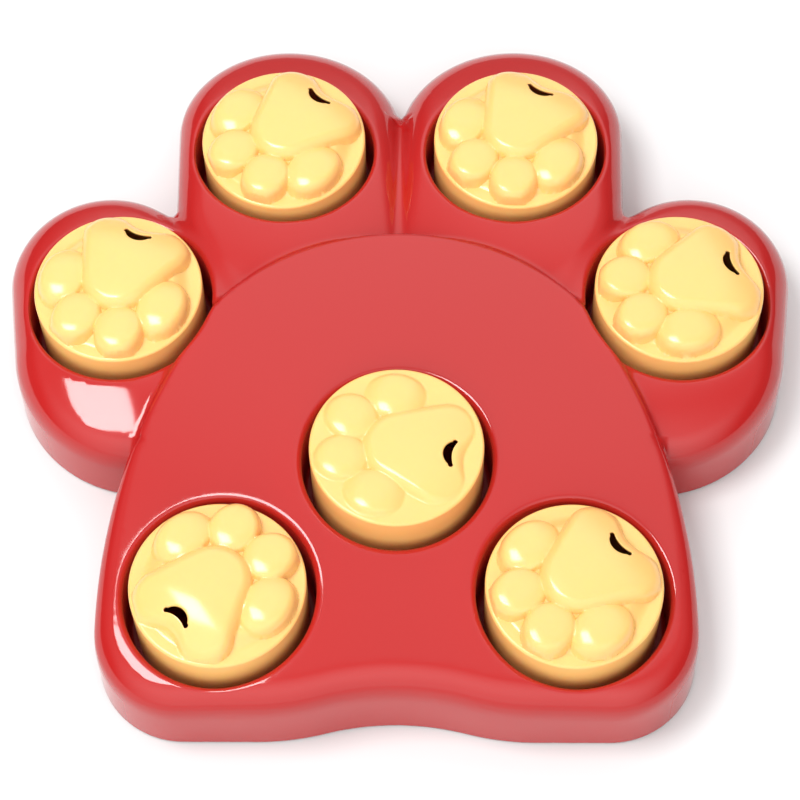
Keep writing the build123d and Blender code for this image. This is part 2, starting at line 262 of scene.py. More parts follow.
def toe_distance(chain, crown, bends, side, x, y, z):
    """A toe: a drafted wall under a crown with a shoulder that bends more."""
    outline = outline_distance(chain, side * x, y)
    crown_x, crown_y, top = crown
    behind = np.clip((y - crown_y) / TOE_BEND_CHANGE + 0.5, 0, 1)
    front_radius, back_radius, shoulder, shoulder_radius = bends
    bend = (1 - behind) / front_radius + behind / back_radius
    fall = ((side * x - crown_x) ** 2 + (y - crown_y) ** 2) * bend / 2
    fall = fall + np.maximum(outline + shoulder, 0) ** 2 / (2 * shoulder_radius)
    edge_radius = np.interp(y - crown_y, *zip(*TOE_EDGE_RADII))
    return rounded_meet(wall_distance(outline, z), z - top + fall, edge_radius)


def lobe_distances(x, y, z):
    """Distances to the palm and the four toes; y is from the middle of the toy."""
    y = y - CENTRE_Y
    toes = []
    for side in (-1, 1):
        toes.append(toe_distance(OUTER_TOE_CHAIN, OUTER_TOE_CROWN, OUTER_TOE_BEND, side, x, y, z))
        toes.append(toe_distance(INNER_TOE_CHAIN, INNER_TOE_CROWN, INNER_TOE_BEND, side, x, y, z))
    return palm_distance(x, y, z), toes


def paw_distance(x, y, z):
    """The whole paw without its wells."""
    palm, toes = lobe_distances(x, y, z)
    joined = toes[0]
    for toe in toes[1:]:
        joined = blended_join(joined, toe, TOE_VALLEY_BLEND)
    return blended_join(joined, palm, PALM_FOOT_BLEND)


def bored_distance(well, x, y, z):
    """The paw with one well bored into it and its lip rounded."""
    well_x, well_y, _ = WELLS[well]
    outside_bore = WELL_RADIUS - np.hypot(x - well_x, y - well_y)
    return rounded_meet(paw_distance(x, y, z), outside_bore, LIP_RADIUS)


def crossing(distance, inside, outside, strides=1):
    """Points where the way from inside a solid to outside it first leaves the solid."""
    way = outside - inside
    reached = np.zeros(len(inside))
    still_in = np.ones(len(inside), bool)
    for stride in range(1, strides):
        part = stride / strides
        still_in &= distance(*(inside + way * part).T) < 0
        reached = np.where(still_in, part, reached)
    low = reached
    high = reached + 1 / strides
    for _ in range(22):
        middle = (low + high) / 2
        within = distance(*(inside + way * middle[:, None]).T) < 0
        low = np.where(within, middle, low)
        high = np.where(within, high, middle)
    return inside + way * ((low + high) / 2)[:, None]


TOP_SEARCH = (3.0, 60.0)


def top_heights(x, y):
    """Heights of the paw's top."""
    low, high = [np.column_stack([x, y, np.full(x.shape, level)]) for level in TOP_SEARCH]
    return crossing(paw_distance, low, high)[:, 2]


# ------------------------------------------------------------- paw's skin

FOOT_SPACING = 1.9
TOP_SPACING = 1.05
WALL_ROWS = 7
EDGE_ROWS = 11
LIP_ROWS = 7
LIP_MARGIN = 0.2
LIP_RING = WELL_RADIUS + LIP_RADIUS + LIP_MARGIN
WELL_POINTS = 132
FLOOR_RINGS = (16.0, 7.0)
CONTOUR_POINTS = 3600
CONTOUR_START = 200.0
CONTOUR_STEPS = 400
CONTOUR_SMOOTHING = 12
STAR_Y = -25.0                           # the outline is walked round from here
HOLLOW_WEIGHT = 8.0                      # how much closer points are set in hollow corners
EDGE_DEPTH = 8.0                         # from the outline to the inner ring of the rounded edge
EDGE_ROOM = 0.62                         # share of the way to the next well that it may take
PIVOT_DROP = 6.0
WALL_REACH = 24.0
LATTICE_SIZE = 300.0
LIP_CLEARANCE = 0.7                      # from a lip's ring to the nearest loose point
RING_CLEARANCE = 0.9                     # from the inner ring to the nearest loose point
HOLLOW_MARGIN = 1.5
BEND_STEP = 1.2
BEND_LIMIT = 0.12                        # a top that bends more than this gets close-set points


def foot_contour():
    """The paw's outline where its wall ends, closer set in the hollow corners."""
    turn = np.linspace(0, 2 * math.pi, CONTOUR_POINTS, endpoint=False)
    level = np.full(turn.shape, SHELL_FOOT)
    reach = np.full(turn.shape, CONTOUR_START)
    for _ in range(CONTOUR_STEPS):
        x = reach * np.cos(turn)
        y = STAR_Y + reach * np.sin(turn)
        distance = paw_distance(x, y, level)
        reach = np.where(distance > 0, reach - np.maximum(distance * 0.5, 0.001), reach)
    points = np.column_stack([reach * np.cos(turn), STAR_Y + reach * np.sin(turn)])
    ahead = np.roll(points, -1, axis=0) - points
    length = np.hypot(*ahead.T)
    heading = np.arctan2(ahead[:, 1], ahead[:, 0])
    bend = (heading - np.roll(heading, 1) + math.pi) % (2 * math.pi) - math.pi
    hollow = np.maximum(-bend / length, 0)
    shifts = range(-CONTOUR_SMOOTHING, CONTOUR_SMOOTHING + 1)
    hollow = sum(np.roll(hollow, shift) for shift in shifts) / len(shifts)
    weight = length * (1 + HOLLOW_WEIGHT * hollow)
    travelled = np.concatenate([[0], np.cumsum(weight)])
    count = int(travelled[-1] / FOOT_SPACING)
    marks = np.linspace(0, travelled[-1], count, endpoint=False)
    closed = np.vstack([points, points[:1]])
    return np.column_stack([np.interp(marks, travelled, closed[:, axis]) for axis in (0, 1)])


def inward_normals(points):
    """Unit ways in plan that lead straight into the paw from points on its outline."""
    step = 0.02
    level = np.full(len(points), SHELL_FOOT)
    x, y = points.T
    slope_x = paw_distance(x + step, y, level) - paw_distance(x - step, y, level)
    slope_y = paw_distance(x, y + step, level) - paw_distance(x, y - step, level)
    size = np.hypot(slope_x, slope_y)
    return np.column_stack([-slope_x / size, -slope_y / size])


def smooth_round(values, passes):
    """Values round a closed ring, each averaged with its neighbours."""
    for _ in range(passes):
        values = (np.roll(values, 1) + 2 * values + np.roll(values, -1)) / 4
    return values


def wall_rows(contour):
    """Rows of points up the wall and over its rounded edge, from the foot to the inner ring."""
    inward = inward_normals(contour)
    depth = np.full(len(contour), EDGE_DEPTH)
    for x, y, _ in WELLS.values():
        room = np.hypot(contour[:, 0] - x, contour[:, 1] - y) - LIP_RING
        depth = np.minimum(depth, room * EDGE_ROOM)
    depth = smooth_round(np.minimum(depth, np.minimum(np.roll(depth, 3), np.roll(depth, -3))), 12)
    pivot = contour + inward * depth[:, None]
    top = top_heights(*pivot.T)
    pivot_z = top - np.minimum(depth, PIVOT_DROP)
    rows = []
    for row in range(WALL_ROWS):
        z = SHELL_FOOT + (pivot_z - SHELL_FOOT) * row / WALL_ROWS
        start = np.column_stack([pivot, z])
        end = np.column_stack([pivot - inward * WALL_REACH, z])
        rows.append(crossing(paw_distance, start, end, 24))
    start = np.column_stack([pivot, pivot_z])
    for row in range(EDGE_ROWS):
        lift = math.pi / 2 * row / (EDGE_ROWS - 1)
        way = np.column_stack([-inward * math.cos(lift), np.full(len(pivot), math.sin(lift))])
        end = start + WALL_REACH * way
        rows.append(crossing(paw_distance, start, end, 24))
    return rows


def well_circle(well, radius):
    x, y, _ = WELLS[well]
    turn = np.linspace(0, 2 * math.pi, WELL_POINTS, endpoint=False)
    return x + radius * np.cos(turn), y + radius * np.sin(turn), turn


def lip_rows(well):
    """Rings of points over a well's rounded lip, from the top surface down to the bore."""
    x, y, turn = well_circle(well, LIP_RING)
    top = top_heights(x, y)
    start = np.column_stack([x, y, top - LIP_RADIUS - LIP_MARGIN])
    rows = []
    for row in range(LIP_ROWS):
        lift = math.pi / 2 * (1 - row / (LIP_ROWS - 1))
        inward = np.column_stack([-np.cos(turn) * math.cos(lift), -np.sin(turn) * math.cos(lift)])
        end = start + EDGE_DEPTH * np.column_stack([inward, np.full(len(x), math.sin(lift))])
        rows.append(crossing(lambda *point: bored_distance(well, *point), start, end))
    return rows


def well_profile(floor):
    """Radius and height from the foot of the bore across the floor and over the treat ring."""
    profile = []

    def corner(radius, z, bend, start, end, steps=4):
        for step in range(steps + 1):
            angle = math.radians(start + (end - start) * step / steps)
            profile.append((radius + bend * math.cos(angle), z + bend * math.sin(angle)))

    edge = RING_EDGE_RADIUS
    ring_top = floor + RING_HEIGHT
    corner(WELL_RADIUS - WELL_CORNER_RADIUS, floor + WELL_CORNER_RADIUS, WELL_CORNER_RADIUS, 0, -90)
    corner(RING_OUTSIDE + edge, floor + edge, edge, -90, -180)
    corner(RING_OUTSIDE - edge, ring_top - edge, edge, 0, 90)
    corner(RING_INSIDE + edge, ring_top - edge, edge, 90, 180)
    corner(RING_INSIDE - edge, floor + edge, edge, 0, -90)
    profile += [(radius, floor) for radius in FLOOR_RINGS]
    return profile


def inside_polygon(points, loop):
    """Even-odd test of many points against one closed loop, rounded as the triangles' corners are."""
    loop = np.asarray(loop, np.float32).astype(float)
    x, y = points.T
    inside = np.zeros(len(points), bool)
    nexts = np.roll(loop, -1, axis=0)
    for (x1, y1), (x2, y2) in zip(loop, nexts):
        if y1 == y2:
            continue
        spans = (y1 > y) != (y2 > y)
        at = x1 + (y - y1) * (x2 - x1) / (y2 - y1)
        inside ^= spans & (x < at)
    return inside


def top_lattice(ring):
    """Points inside the ring: close set in the hollows between lobes, wider set on the crowns."""
    step_y = TOP_SPACING * math.sqrt(3) / 2
    rows = int(LATTICE_SIZE / step_y)
    columns = int(LATTICE_SIZE / TOP_SPACING)
    row, column = np.meshgrid(np.arange(rows), np.arange(columns), indexing="ij")
    x = (column - columns / 2 + (row % 2) / 2) * TOP_SPACING
    y = (row - rows / 2) * step_y
    coarse = (row % 2 == 0) & ((column + row // 2) % 2 == 0)
    x, y, coarse = x.ravel(), y.ravel(), coarse.ravel()
    keep = inside_polygon(np.column_stack([x, y]), ring)
    for well_x, well_y, _ in WELLS.values():
        keep &= np.hypot(x - well_x, y - well_y) > LIP_RING + LIP_CLEARANCE
    x, y, coarse = x[keep], y[keep], coarse[keep]
    clear = np.full(x.shape, 1e3)
    for ring_x, ring_y in ring:
        clear = np.minimum(clear, np.hypot(x - ring_x, y - ring_y))
    keep = clear > RING_CLEARANCE
    x, y, coarse = x[keep], y[keep], coarse[keep]
    z = top_heights(x, y)
    palm, toes = lobe_distances(x, y, z)
    nearest = np.sort(np.vstack([palm] + toes), axis=0)
    hollow = nearest[1] < TOE_VALLEY_BLEND + HOLLOW_MARGIN
    rise = np.zeros(x.shape)
    for dx, dy in ((BEND_STEP, 0), (0, BEND_STEP)):
        bend = top_heights(x + dx, y + dy) + top_heights(x - dx, y - dy) - 2 * z
        rise = np.maximum(rise, np.abs(bend))
    keep = hollow | coarse | (rise > BEND_LIMIT)
    return np.column_stack([x[keep], y[keep]])


def filled_between(points, loops, keep):
    """Triangles over the points, with the loops kept as edges and only those that keep() wants."""
    edges = []
    for start, count in loops:
        edges += [(start + index, start + (index + 1) % count) for index in range(count)]
    flat = [Vector((float(x), float(y))) for x, y in points]
    places, _, faces, _, _, _ = delaunay_2d_cdt(flat, edges, [], 0, 1e-5)
    places = np.array([tuple(place) for place in places])
    faces = np.array(faces)
    centres = places[faces].mean(axis=1)
    return places, faces[keep(centres)]


def band(faces, lower, upper, count, flip=False):
    """Quads between two closed rings of the same count."""
    for index in range(count):
        after = (index + 1) % count
        quad = [lower + index, lower + after, upper + after, upper + index]
        faces.append(quad[::-1] if flip else quad)


def paw_skin():
    """Vertices and faces of the paw's outer skin, open along the foot of its wall."""
    contour = foot_contour()
    count = len(contour)
    vertices = []
    faces = []
    rows = wall_rows(contour)
    for row in rows:
        vertices.append(row)
    for index in range(len(rows) - 1):
        band(faces, index * count, (index + 1) * count, count)
    ring = rows[-1]
    ring_start = (len(rows) - 1) * count
    total = len(rows) * count

    flat = [ring[:, :2]]
    loops = [(0, count)]
    known = list(range(ring_start, ring_start + count))
    for well, (_, _, floor) in WELLS.items():
        lips = lip_rows(well)
        starts = []
        for row in lips:
            starts.append(total)
            vertices.append(row)
            total += WELL_POINTS
        loops.append((sum(len(part) for part in flat), WELL_POINTS))
        flat.append(lips[0][:, :2])
        known += list(range(starts[0], starts[0] + WELL_POINTS))
        profile = well_profile(floor)
        bottom = lips[-1][:, 2]
        for part in (0.25, 0.5, 0.75):
            x, y, _ = well_circle(well, WELL_RADIUS)
            z = bottom + (profile[0][1] - bottom) * part
            starts.append(total)
            vertices.append(np.column_stack([x, y, z]))
            total += WELL_POINTS
        for radius, height in profile:
            x, y, _ = well_circle(well, radius)
            starts.append(total)
            vertices.append(np.column_stack([x, y, np.full(WELL_POINTS, height)]))
            total += WELL_POINTS
        for upper, lower in zip(starts, starts[1:]):
            band(faces, upper, lower, WELL_POINTS)
        faces.append(list(range(starts[-1], starts[-1] + WELL_POINTS)))

    flat.append(top_lattice(ring[:, :2]))
    flat = np.vstack(flat)

    def on_top(centres):
        keep = inside_polygon(centres, ring[:, :2])
        for well_x, well_y, _ in WELLS.values():
            keep &= np.hypot(centres[:, 0] - well_x, centres[:, 1] - well_y) > LIP_RING - 0.02
        return keep

    places, triangles = filled_between(flat, loops, on_top)
    fresh = places[len(known):]
    vertices.append(np.column_stack([fresh, top_heights(*fresh.T)]))
    numbers = np.array(known + list(range(total, total + len(fresh))))
    faces += [list(numbers[triangle]) for triangle in triangles]
    return np.vstack(vertices), faces, count


# -------------------------------------------------------------------- lids

LID_POINTS = 180
RELIEF_SPACING = 0.46
UNDERSIDE_SPACING = 1.0
LID_SEARCH = (-6.0, 12.0)                # from the rim down and up
SLOT_ARC_POINTS = 25
SLOT_TIP_RADIUS = 1.1
LAND_SLOPE = 0.7                         # how fast the land round the slot thickens


def bean_distance(bean, side, x, y):
    """Distance to a bean's outline, an ellipse, negative inside it."""
    bean_x, bean_y, half_width, half_length, lean = bean
    turn = math.radians(side * lean)
    across = (x - side * bean_x) * math.cos(turn) + (y - bean_y) * math.sin(turn)
    along = (y - bean_y) * math.cos(turn) - (x - side * bean_x) * math.sin(turn)
    ratio = np.hypot(across / half_width, along / half_length) + 1e-6
    slope = np.hypot(across / half_width ** 2, along / half_length ** 2) + 1e-7
    return ratio * (ratio - 1) / slope


def puff(outline, height, crown, edge_radius):
    """A puffed pad: a drafted wall under a crown, with a rounded edge between them."""
    wall = (outline + height * math.tan(PUFF_DRAFT)) * math.cos(PUFF_DRAFT)
    return rounded_meet(wall, crown, edge_radius)


PAD_CHAIN = toe_chain(PAD_CIRCLES)


def lid_distance(heights, x, y, z):
    """The lid's top with its paw relief, round the lid's own axis."""
    plateau, bean_top, pad_top, (sideways, ahead, heel) = heights
    height = z - LID_HEIGHT
    radius = np.hypot(x, y)
    notch_y, notch_radius, notch_blend = PAD_NOTCH
    notch = notch_radius - np.hypot(x, y - notch_y)
    pad_outline = rounded_meet(outline_distance(PAD_CHAIN, x, y), notch, notch_blend)
    pad_edge = min(PAD_EDGE_RADIUS, pad_top - plateau)
    fall = x ** 2 / (2 * sideways) + np.maximum(y - PAD_CROWN_Y, 0) ** 2 / (2 * ahead)
    fall = fall + np.maximum(PAD_HEEL_START - y, 0) ** 2 / (2 * heel)
    relief = puff(pad_outline, height, height - pad_top + fall, pad_edge)
    edge_radius = np.interp(radius, *zip(*PUFF_EDGE_RADII))
    for bean in (OUTER_BEAN, INNER_BEAN):
        for side in (-1, 1):
            outline = bean_distance(bean, side, x, y)
            rise = height - bean_top + BEAN_CROWN_RADIUS
            away = np.maximum(np.hypot(x - side * bean[0], y - bean[1]) - BEAN_CROWN_FLAT, 0)
            bean_puff = puff(outline, height, np.hypot(away, rise) - BEAN_CROWN_RADIUS, edge_radius)
            relief = blended_join(relief, bean_puff, GROOVE_BLEND)
    inner, outer = PLATEAU_REACH
    part = np.clip((outer - radius) / (outer - inner), 0, 1)
    ground = (plateau - PLATEAU_FALL * (radius / inner) ** 2) * part ** 2 * (3 - 2 * part)
    return blended_join(relief, height - np.maximum(ground, 0), GROOVE_BLEND)


def lid_heights(heights, x, y, depth):
    """Heights of the lid's top, or of a surface at an even depth under it."""
    down, up = LID_SEARCH
    low = np.column_stack([x, y, np.full(x.shape, LID_HEIGHT + down)])
    high = np.column_stack([x, y, np.full(x.shape, LID_HEIGHT + up)])
    return crossing(lambda *point: lid_distance(heights, *point) + depth, low, high)[:, 2]


def arc_over(start, middle, count):
    """Points on the arc from start over middle, on x = 0, to start's mirror image."""
    half = abs(start[0])
    rise = middle[1] - start[1]
    radius = (half ** 2 + rise ** 2) / (2 * abs(rise))
    swing = math.asin(half / radius) * (1 if start[0] < 0 else -1)
    turn = np.linspace(-swing, swing, count)
    lift = math.copysign(1, rise)
    return np.column_stack([radius * np.sin(turn), middle[1] - lift * radius * (1 - np.cos(turn))])


def slot_loop(grow):
    """The crescent slot's outline, anticlockwise, grown evenly; its tips are rounded."""
    outer_y = SLOT_Y + SLOT_BOW
    tip_y = SLOT_Y - SLOT_BOW / 2
    inner_y = outer_y - SLOT_WIDTH
    tip = SLOT_TIP_RADIUS
    reach = SLOT_HALF_LENGTH - tip
    outer = arc_over((reach, tip_y + tip), (0.0, outer_y), SLOT_ARC_POINTS)
    inner = arc_over((-reach, tip_y - tip * 0.6), (0.0, inner_y), SLOT_ARC_POINTS)
    ends = np.linspace(0, math.pi, 7)[1:-1]
    middle = (outer[-1] + inner[0]) / 2
    size = np.hypot(*(outer[-1] - inner[0])) / 2
    start = math.atan2(*(outer[-1] - middle)[::-1])
    left = middle + size * np.column_stack([np.cos(start + ends), np.sin(start + ends)])
    right = left[::-1] * [-1, 1]
    loop = np.vstack([outer, left, inner, right])
    along = np.roll(loop, -1, axis=0) - np.roll(loop, 1, axis=0)
    outward = np.column_stack([along[:, 1], -along[:, 0]]) / np.hypot(*along.T)[:, None]
    return loop + grow * outward


def ring_points(radius, z):
    turn = np.linspace(0, 2 * math.pi, LID_POINTS, endpoint=False)
    return np.column_stack([radius * np.cos(turn), radius * np.sin(turn), np.full(LID_POINTS, z)])


def disc_lattice(radius, spacing, slot):
    """Points on a disc, clear of its edge and of the slot."""
    step = spacing * math.sqrt(3) / 2
    count = int(radius / step) + 2
    row, column = np.meshgrid(np.arange(-count, count), np.arange(-count, count), indexing="ij")
    x = ((column + (row % 2) / 2) * spacing).ravel()
    y = (row * step).ravel()
    keep = np.hypot(x, y) < radius - spacing * 0.6
    near = np.full(x.shape, 1e3)
    for slot_x, slot_y in slot:
        near = np.minimum(near, np.hypot(x - slot_x, y - slot_y))
    points = np.column_stack([x, y])
    return points[keep & (near > spacing * 0.5) & ~inside_polygon(points, slot)]


def lid_skin(heights):
    """Vertices and faces of a closed lid on its own axis."""
    vertices = []
    faces = []
    total = 0

    def add(points):
        nonlocal total
        vertices.append(points)
        total += len(points)
        return total - len(points)

    # The foot's two edges are rounded a little
    profile = [
        (LID_BORE_RADIUS + 0.5, 0.0),
        (LID_RADIUS - 0.4, 0.0),
        (LID_RADIUS - 0.1, 0.1),
        (LID_RADIUS, 0.4),
    ]
    profile += [(LID_RADIUS, LID_HEIGHT * part) for part in (0.25, 0.5, 0.75)]
    for step in range(7):
        turn = math.pi / 2 * step / 6
        profile.append((
            LID_RADIUS - LID_EDGE_RADIUS * (1 - math.cos(turn)),
            LID_HEIGHT - LID_EDGE_RADIUS * (1 - math.sin(turn))))
    outside = [add(ring_points(radius, z)) for radius, z in profile]
    ceiling = LID_HEIGHT - LID_WALL
    profile = [(LID_BORE_RADIUS + 0.1, 0.1), (LID_BORE_RADIUS, 0.4)]
    profile += [(LID_BORE_RADIUS, ceiling * part) for part in (0.33, 0.66)]
    for step in range(5):
        turn = math.pi / 2 * step / 4
        profile.append((
            LID_BORE_RADIUS - LID_EDGE_RADIUS * (1 - math.cos(turn)),
            ceiling - LID_EDGE_RADIUS * (1 - math.sin(turn))))
    inside = [add(ring_points(radius, z)) for radius, z in profile]
    for lower, upper in zip(outside, outside[1:]):
        band(faces, lower, upper, LID_POINTS)
    band(faces, outside[0], inside[0], LID_POINTS, flip=True)
    for lower, upper in zip(inside, inside[1:]):
        band(faces, lower, upper, LID_POINTS, flip=True)

    slot_rings = []
    for grow, drop in ((SLOT_EDGE, 0.0), (SLOT_EDGE * 0.3, SLOT_EDGE * 0.3), (0.0, SLOT_EDGE)):
        loop = slot_loop(grow)
        z = lid_heights(heights, *loop.T, 0.0) - drop
        slot_rings.append(add(np.column_stack([loop, z])))
    loop = slot_loop(0.0)
    slot_count = len(loop)
    z = lid_heights(heights, *loop.T, 0.0) - SLOT_LAND
    slot_rings.append(add(np.column_stack([loop, z])))
    for upper, lower in zip(slot_rings, slot_rings[1:]):
        band(faces, upper, lower, slot_count)

    def close(edge_ring, edge_radius, slot_ring, slot_edge, spacing, depths, flip):
        """Fill between a ring round the lid and a ring round the slot."""
        circle = ring_points(edge_radius, 0.0)[:, :2]
        lattice = disc_lattice(edge_radius, spacing, slot_edge)
        flat = np.vstack([circle, slot_edge, lattice])

        def wanted(centres):
            return (np.hypot(*centres.T) < edge_radius) & ~inside_polygon(centres, slot_edge)

        _, triangles = filled_between(flat, [(0, LID_POINTS), (LID_POINTS, slot_count)], wanted)
        start = add(np.column_stack([lattice, depths(lattice)]))
        numbers = np.concatenate([
            np.arange(edge_ring, edge_ring + LID_POINTS),
            np.arange(slot_ring, slot_ring + slot_count),
            np.arange(start, start + len(lattice))])
        for triangle in triangles:
            face = list(numbers[triangle])
            faces.append(face[::-1] if flip else face)

    def under(points):
        """The wall is even but for a thin land round the slot."""
        away = np.full(len(points), 1e3)
        for slot_x, slot_y in slot_loop(0.0):
            away = np.minimum(away, np.hypot(points[:, 0] - slot_x, points[:, 1] - slot_y))
        low = lid_heights(heights, *points.T, LID_WALL)
        thin = lid_heights(heights, *points.T, 0.0) - SLOT_LAND - away * LAND_SLOPE
        return np.maximum(low, thin)

    def over(points):
        return lid_heights(heights, *points.T, 0.0)

    top_edge = LID_RADIUS - LID_EDGE_RADIUS
    bore_edge = LID_BORE_RADIUS - LID_EDGE_RADIUS
    close(outside[-1], top_edge, slot_rings[0], slot_loop(SLOT_EDGE), RELIEF_SPACING, over, False)
    close(inside[-1], bore_edge, slot_rings[-1], slot_loop(0.0), UNDERSIDE_SPACING, under, True)
    return np.vstack(vertices), faces


def make_lid(node, skin, material):
    """One lid from the common skin, turned and set in its well."""
    vertices, faces = skin
    x, y, floor = WELLS[node]
    turn = math.radians(LID_TURNS[node])
    placed = np.column_stack([
        x + vertices[:, 0] * math.cos(turn) - vertices[:, 1] * math.sin(turn),
        y + vertices[:, 0] * math.sin(turn) + vertices[:, 1] * math.cos(turn),
        floor + vertices[:, 2],
    ])
    lid = mesh_object("lid_" + node.replace("_lid", ""), placed, faces, material)
    lid.data.polygons.foreach_set("use_smooth", [True] * len(lid.data.polygons))
    lid.data.set_sharp_from_angle(angle=math.radians(50))
    return lid


# ------------------------------------------------------------------ meshes

def mesh_object(name, vertices, faces, material):
    mesh = bpy.data.meshes.new(name)
    corners = [tuple(vertex) for vertex in np.asarray(vertices) * MM]
    mesh.from_pydata(corners, [], [list(map(int, face)) for face in faces])
    mesh.materials.append(material)
    piece = bpy.data.objects.new(name, mesh)
    bpy.context.scene.collection.objects.link(piece)
    return piece


def hollow_underside(node):
    """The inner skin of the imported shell: everything but its outer skin and its foot face."""
    shell = bmesh.new()
    shell.from_mesh(node.data)
    bmesh.ops.remove_doubles(shell, verts=shell.verts, dist=0.00001)
    foot = []
    for face in shell.faces:
        above_foot = face.calc_center_median().z - SHELL_FOOT * MM
        if face.normal.z < -0.99 and abs(above_foot) < 0.0002:
            foot.append(face)
    bmesh.ops.delete(shell, geom=foot, context="FACES_ONLY")
    loose = [e for e in shell.edges if not e.link_faces]
    bmesh.ops.delete(shell, geom=loose, context="EDGES")
    highest = max(shell.verts, key=lambda v: v.co.z)
    outer = {highest}
    waiting = [highest]
    while waiting:
        vertex = waiting.pop()
        for edge in vertex.link_edges:
            other = edge.other_vert(vertex)
            if other not in outer:
                outer.add(other)
                waiting.append(other)
    bmesh.ops.delete(shell, geom=list(outer), context="VERTS")
    return shell


def make_base(node, material, well_material):
    """The red shell: the paw's skin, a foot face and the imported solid's underside in one mesh."""
    vertices, faces, count = paw_skin()
    base = mesh_object("paw_base", vertices, faces, material)
    base.data.materials.append(well_material)
    under = hollow_underside(node)
    rim = [e for e in under.edges if len(e.link_faces) == 1]
    links = {}
    for edge in rim:
        for vertex in edge.verts:
            links.setdefault(vertex, []).append(edge.other_vert(vertex))
    start = rim[0].verts[0]
    loop = [start]
    before = None
    while True:
        ahead = [v for v in links[loop[-1]] if v != before]
        before = loop[-1]
        if ahead[0] == start:
            break
        loop.append(ahead[0])
    inner = np.array([tuple(v.co) for v in loop]) / MM
    flat = np.vstack([vertices[:count, :2], inner[:, :2]])
    outer_loop = vertices[:count, :2]

    def on_foot(centres):
        return inside_polygon(centres, outer_loop) & ~inside_polygon(centres, inner[:, :2])

    places, triangles = filled_between(flat, [(0, count), (count, len(inner))], on_foot)
    foot_faces = [list(triangle[::-1]) for triangle in triangles]
    foot_vertices = np.column_stack([places, np.full(len(places), SHELL_FOOT)])
    foot = mesh_object("paw_foot_face", foot_vertices, foot_faces, material)

    shell = bmesh.new()
    shell.from_mesh(base.data)
    shell.from_mesh(foot.data)
    under_mesh = bpy.data.meshes.new("underside")
    under.to_mesh(under_mesh)
    under.free()
    shell.from_mesh(under_mesh)
    bmesh.ops.remove_doubles(shell, verts=shell.verts, dist=0.00002)
    for face in shell.faces:
        middle = face.calc_center_median() / MM
        in_well = [math.hypot(middle.x - x, middle.y - y) < WELL_RADIUS for x, y, _ in WELLS.values()]
        face.smooth = True
        face.material_index = int(any(in_well))
    shell.to_mesh(base.data)
    shell.free()
    bpy.data.objects.remove(foot)
    bpy.data.meshes.remove(under_mesh)
    base.data.set_sharp_from_angle(angle=math.radians(40))
    return base


# --------------------------------------------------------------- materials

def linear(code):
    """An sRGB hex colour as linear red, green and blue."""
    channels = [int(code[place:place + 2], 16) / 255 for place in (1, 3, 5)]
    return [c / 12.92 if c <= 0.04045 else ((c + 0.055) / 1.055) ** 2.4 for c in channels] + [1.0]


def new_material(name):
    material = bpy.data.materials.new(name)
    material.use_nodes = True
    material.node_tree.nodes.clear()
    return material


def add_node(holder, kind, settings=None, inputs=None):
    """Add a node to a material or world; an input may be a value or another node's output."""
    node = holder.node_tree.nodes.new(kind)
    for key, value in (settings or {}).items():
        setattr(node, key, value)
    for key, value in (inputs or {}).items():
        if isinstance(value, bpy.types.NodeSocket):
            holder.node_tree.links.new(value, node.inputs[key])
        else:
            node.inputs[key].default_value = value
    return node


def moulded_abs(name, colour, roughness, depth=0.0):
    """Injection-moulded ABS from a polished mould: a clear gloss with a very faint ripple.

    A depth makes it a translucent grade, in which red light spreads furthest.
    """
    material = new_material(name)
    place = add_node(material, "ShaderNodeTexCoord").outputs["Object"]
    ripple = add_node(material, "ShaderNodeTexNoise", None,
                      {"Vector": place, "Scale": 60.0, "Detail": 3.0})
    bump = add_node(material, "ShaderNodeBump", None,
                    {"Height": ripple.outputs["Fac"], "Strength": 0.05, "Distance": 0.0005})
    shader = add_node(material, "ShaderNodeBsdfPrincipled", None, {
        "Base Color": linear(colour),
        "Roughness": roughness,
        "IOR": 1.53,
        "Subsurface Weight": 0.3 if depth else 0.0,
        "Subsurface Radius": (1.0, 0.4, 0.15),
        "Subsurface Scale": depth,
        "Normal": bump.outputs["Normal"],
    })
    add_node(material, "ShaderNodeOutputMaterial", None, {"Surface": shader.outputs["BSDF"]})
    return material


def soft_rubber(name, colour):
    """Dull moulded rubber with a fine even grain and slightly greyer patches."""
    material = new_material(name)
    place = add_node(material, "ShaderNodeTexCoord").outputs["Object"]
    grain = add_node(material, "ShaderNodeTexNoise", None,
                     {"Vector": place, "Scale": 2500.0, "Detail": 2.0})
    patches = add_node(material, "ShaderNodeTexNoise", None,
                       {"Vector": place, "Scale": 150.0, "Detail": 2.0})
    roughness = add_node(material, "ShaderNodeMapRange", None, {
        "Value": patches.outputs["Fac"], "To Min": 0.65, "To Max": 0.85})
    bump = add_node(material, "ShaderNodeBump", None,
                    {"Height": grain.outputs["Fac"], "Strength": 0.3, "Distance": 0.0001})
    shader = add_node(material, "ShaderNodeBsdfPrincipled", None, {
        "Base Color": linear(colour),
        "Roughness": roughness.outputs["Result"],
        "Normal": bump.outputs["Normal"],
    })
    add_node(material, "ShaderNodeOutputMaterial", None, {"Surface": shader.outputs["BSDF"]})
    return material


# ------------------------------------------------------------------- stage

FLOOR_HALF = 3.0


def make_stage():
    floor_mesh = bpy.data.meshes.new("floor")
    corners = [(x * FLOOR_HALF, y * FLOOR_HALF, 0) for x, y in ((-1, -1), (1, -1), (1, 1), (-1, 1))]
    floor_mesh.from_pydata(corners, [], [(0, 1, 2, 3)])
    floor = bpy.data.objects.new("floor", floor_mesh)
    bpy.context.scene.collection.objects.link(floor)
    paper = new_material("white_paper_sweep")
    shader = add_node(paper, "ShaderNodeBsdfDiffuse", None, {"Color": linear("#e2e2e2")})
    add_node(paper, "ShaderNodeOutputMaterial", None, {"Surface": shader.outputs["BSDF"]})
    floor_mesh.materials.append(paper)


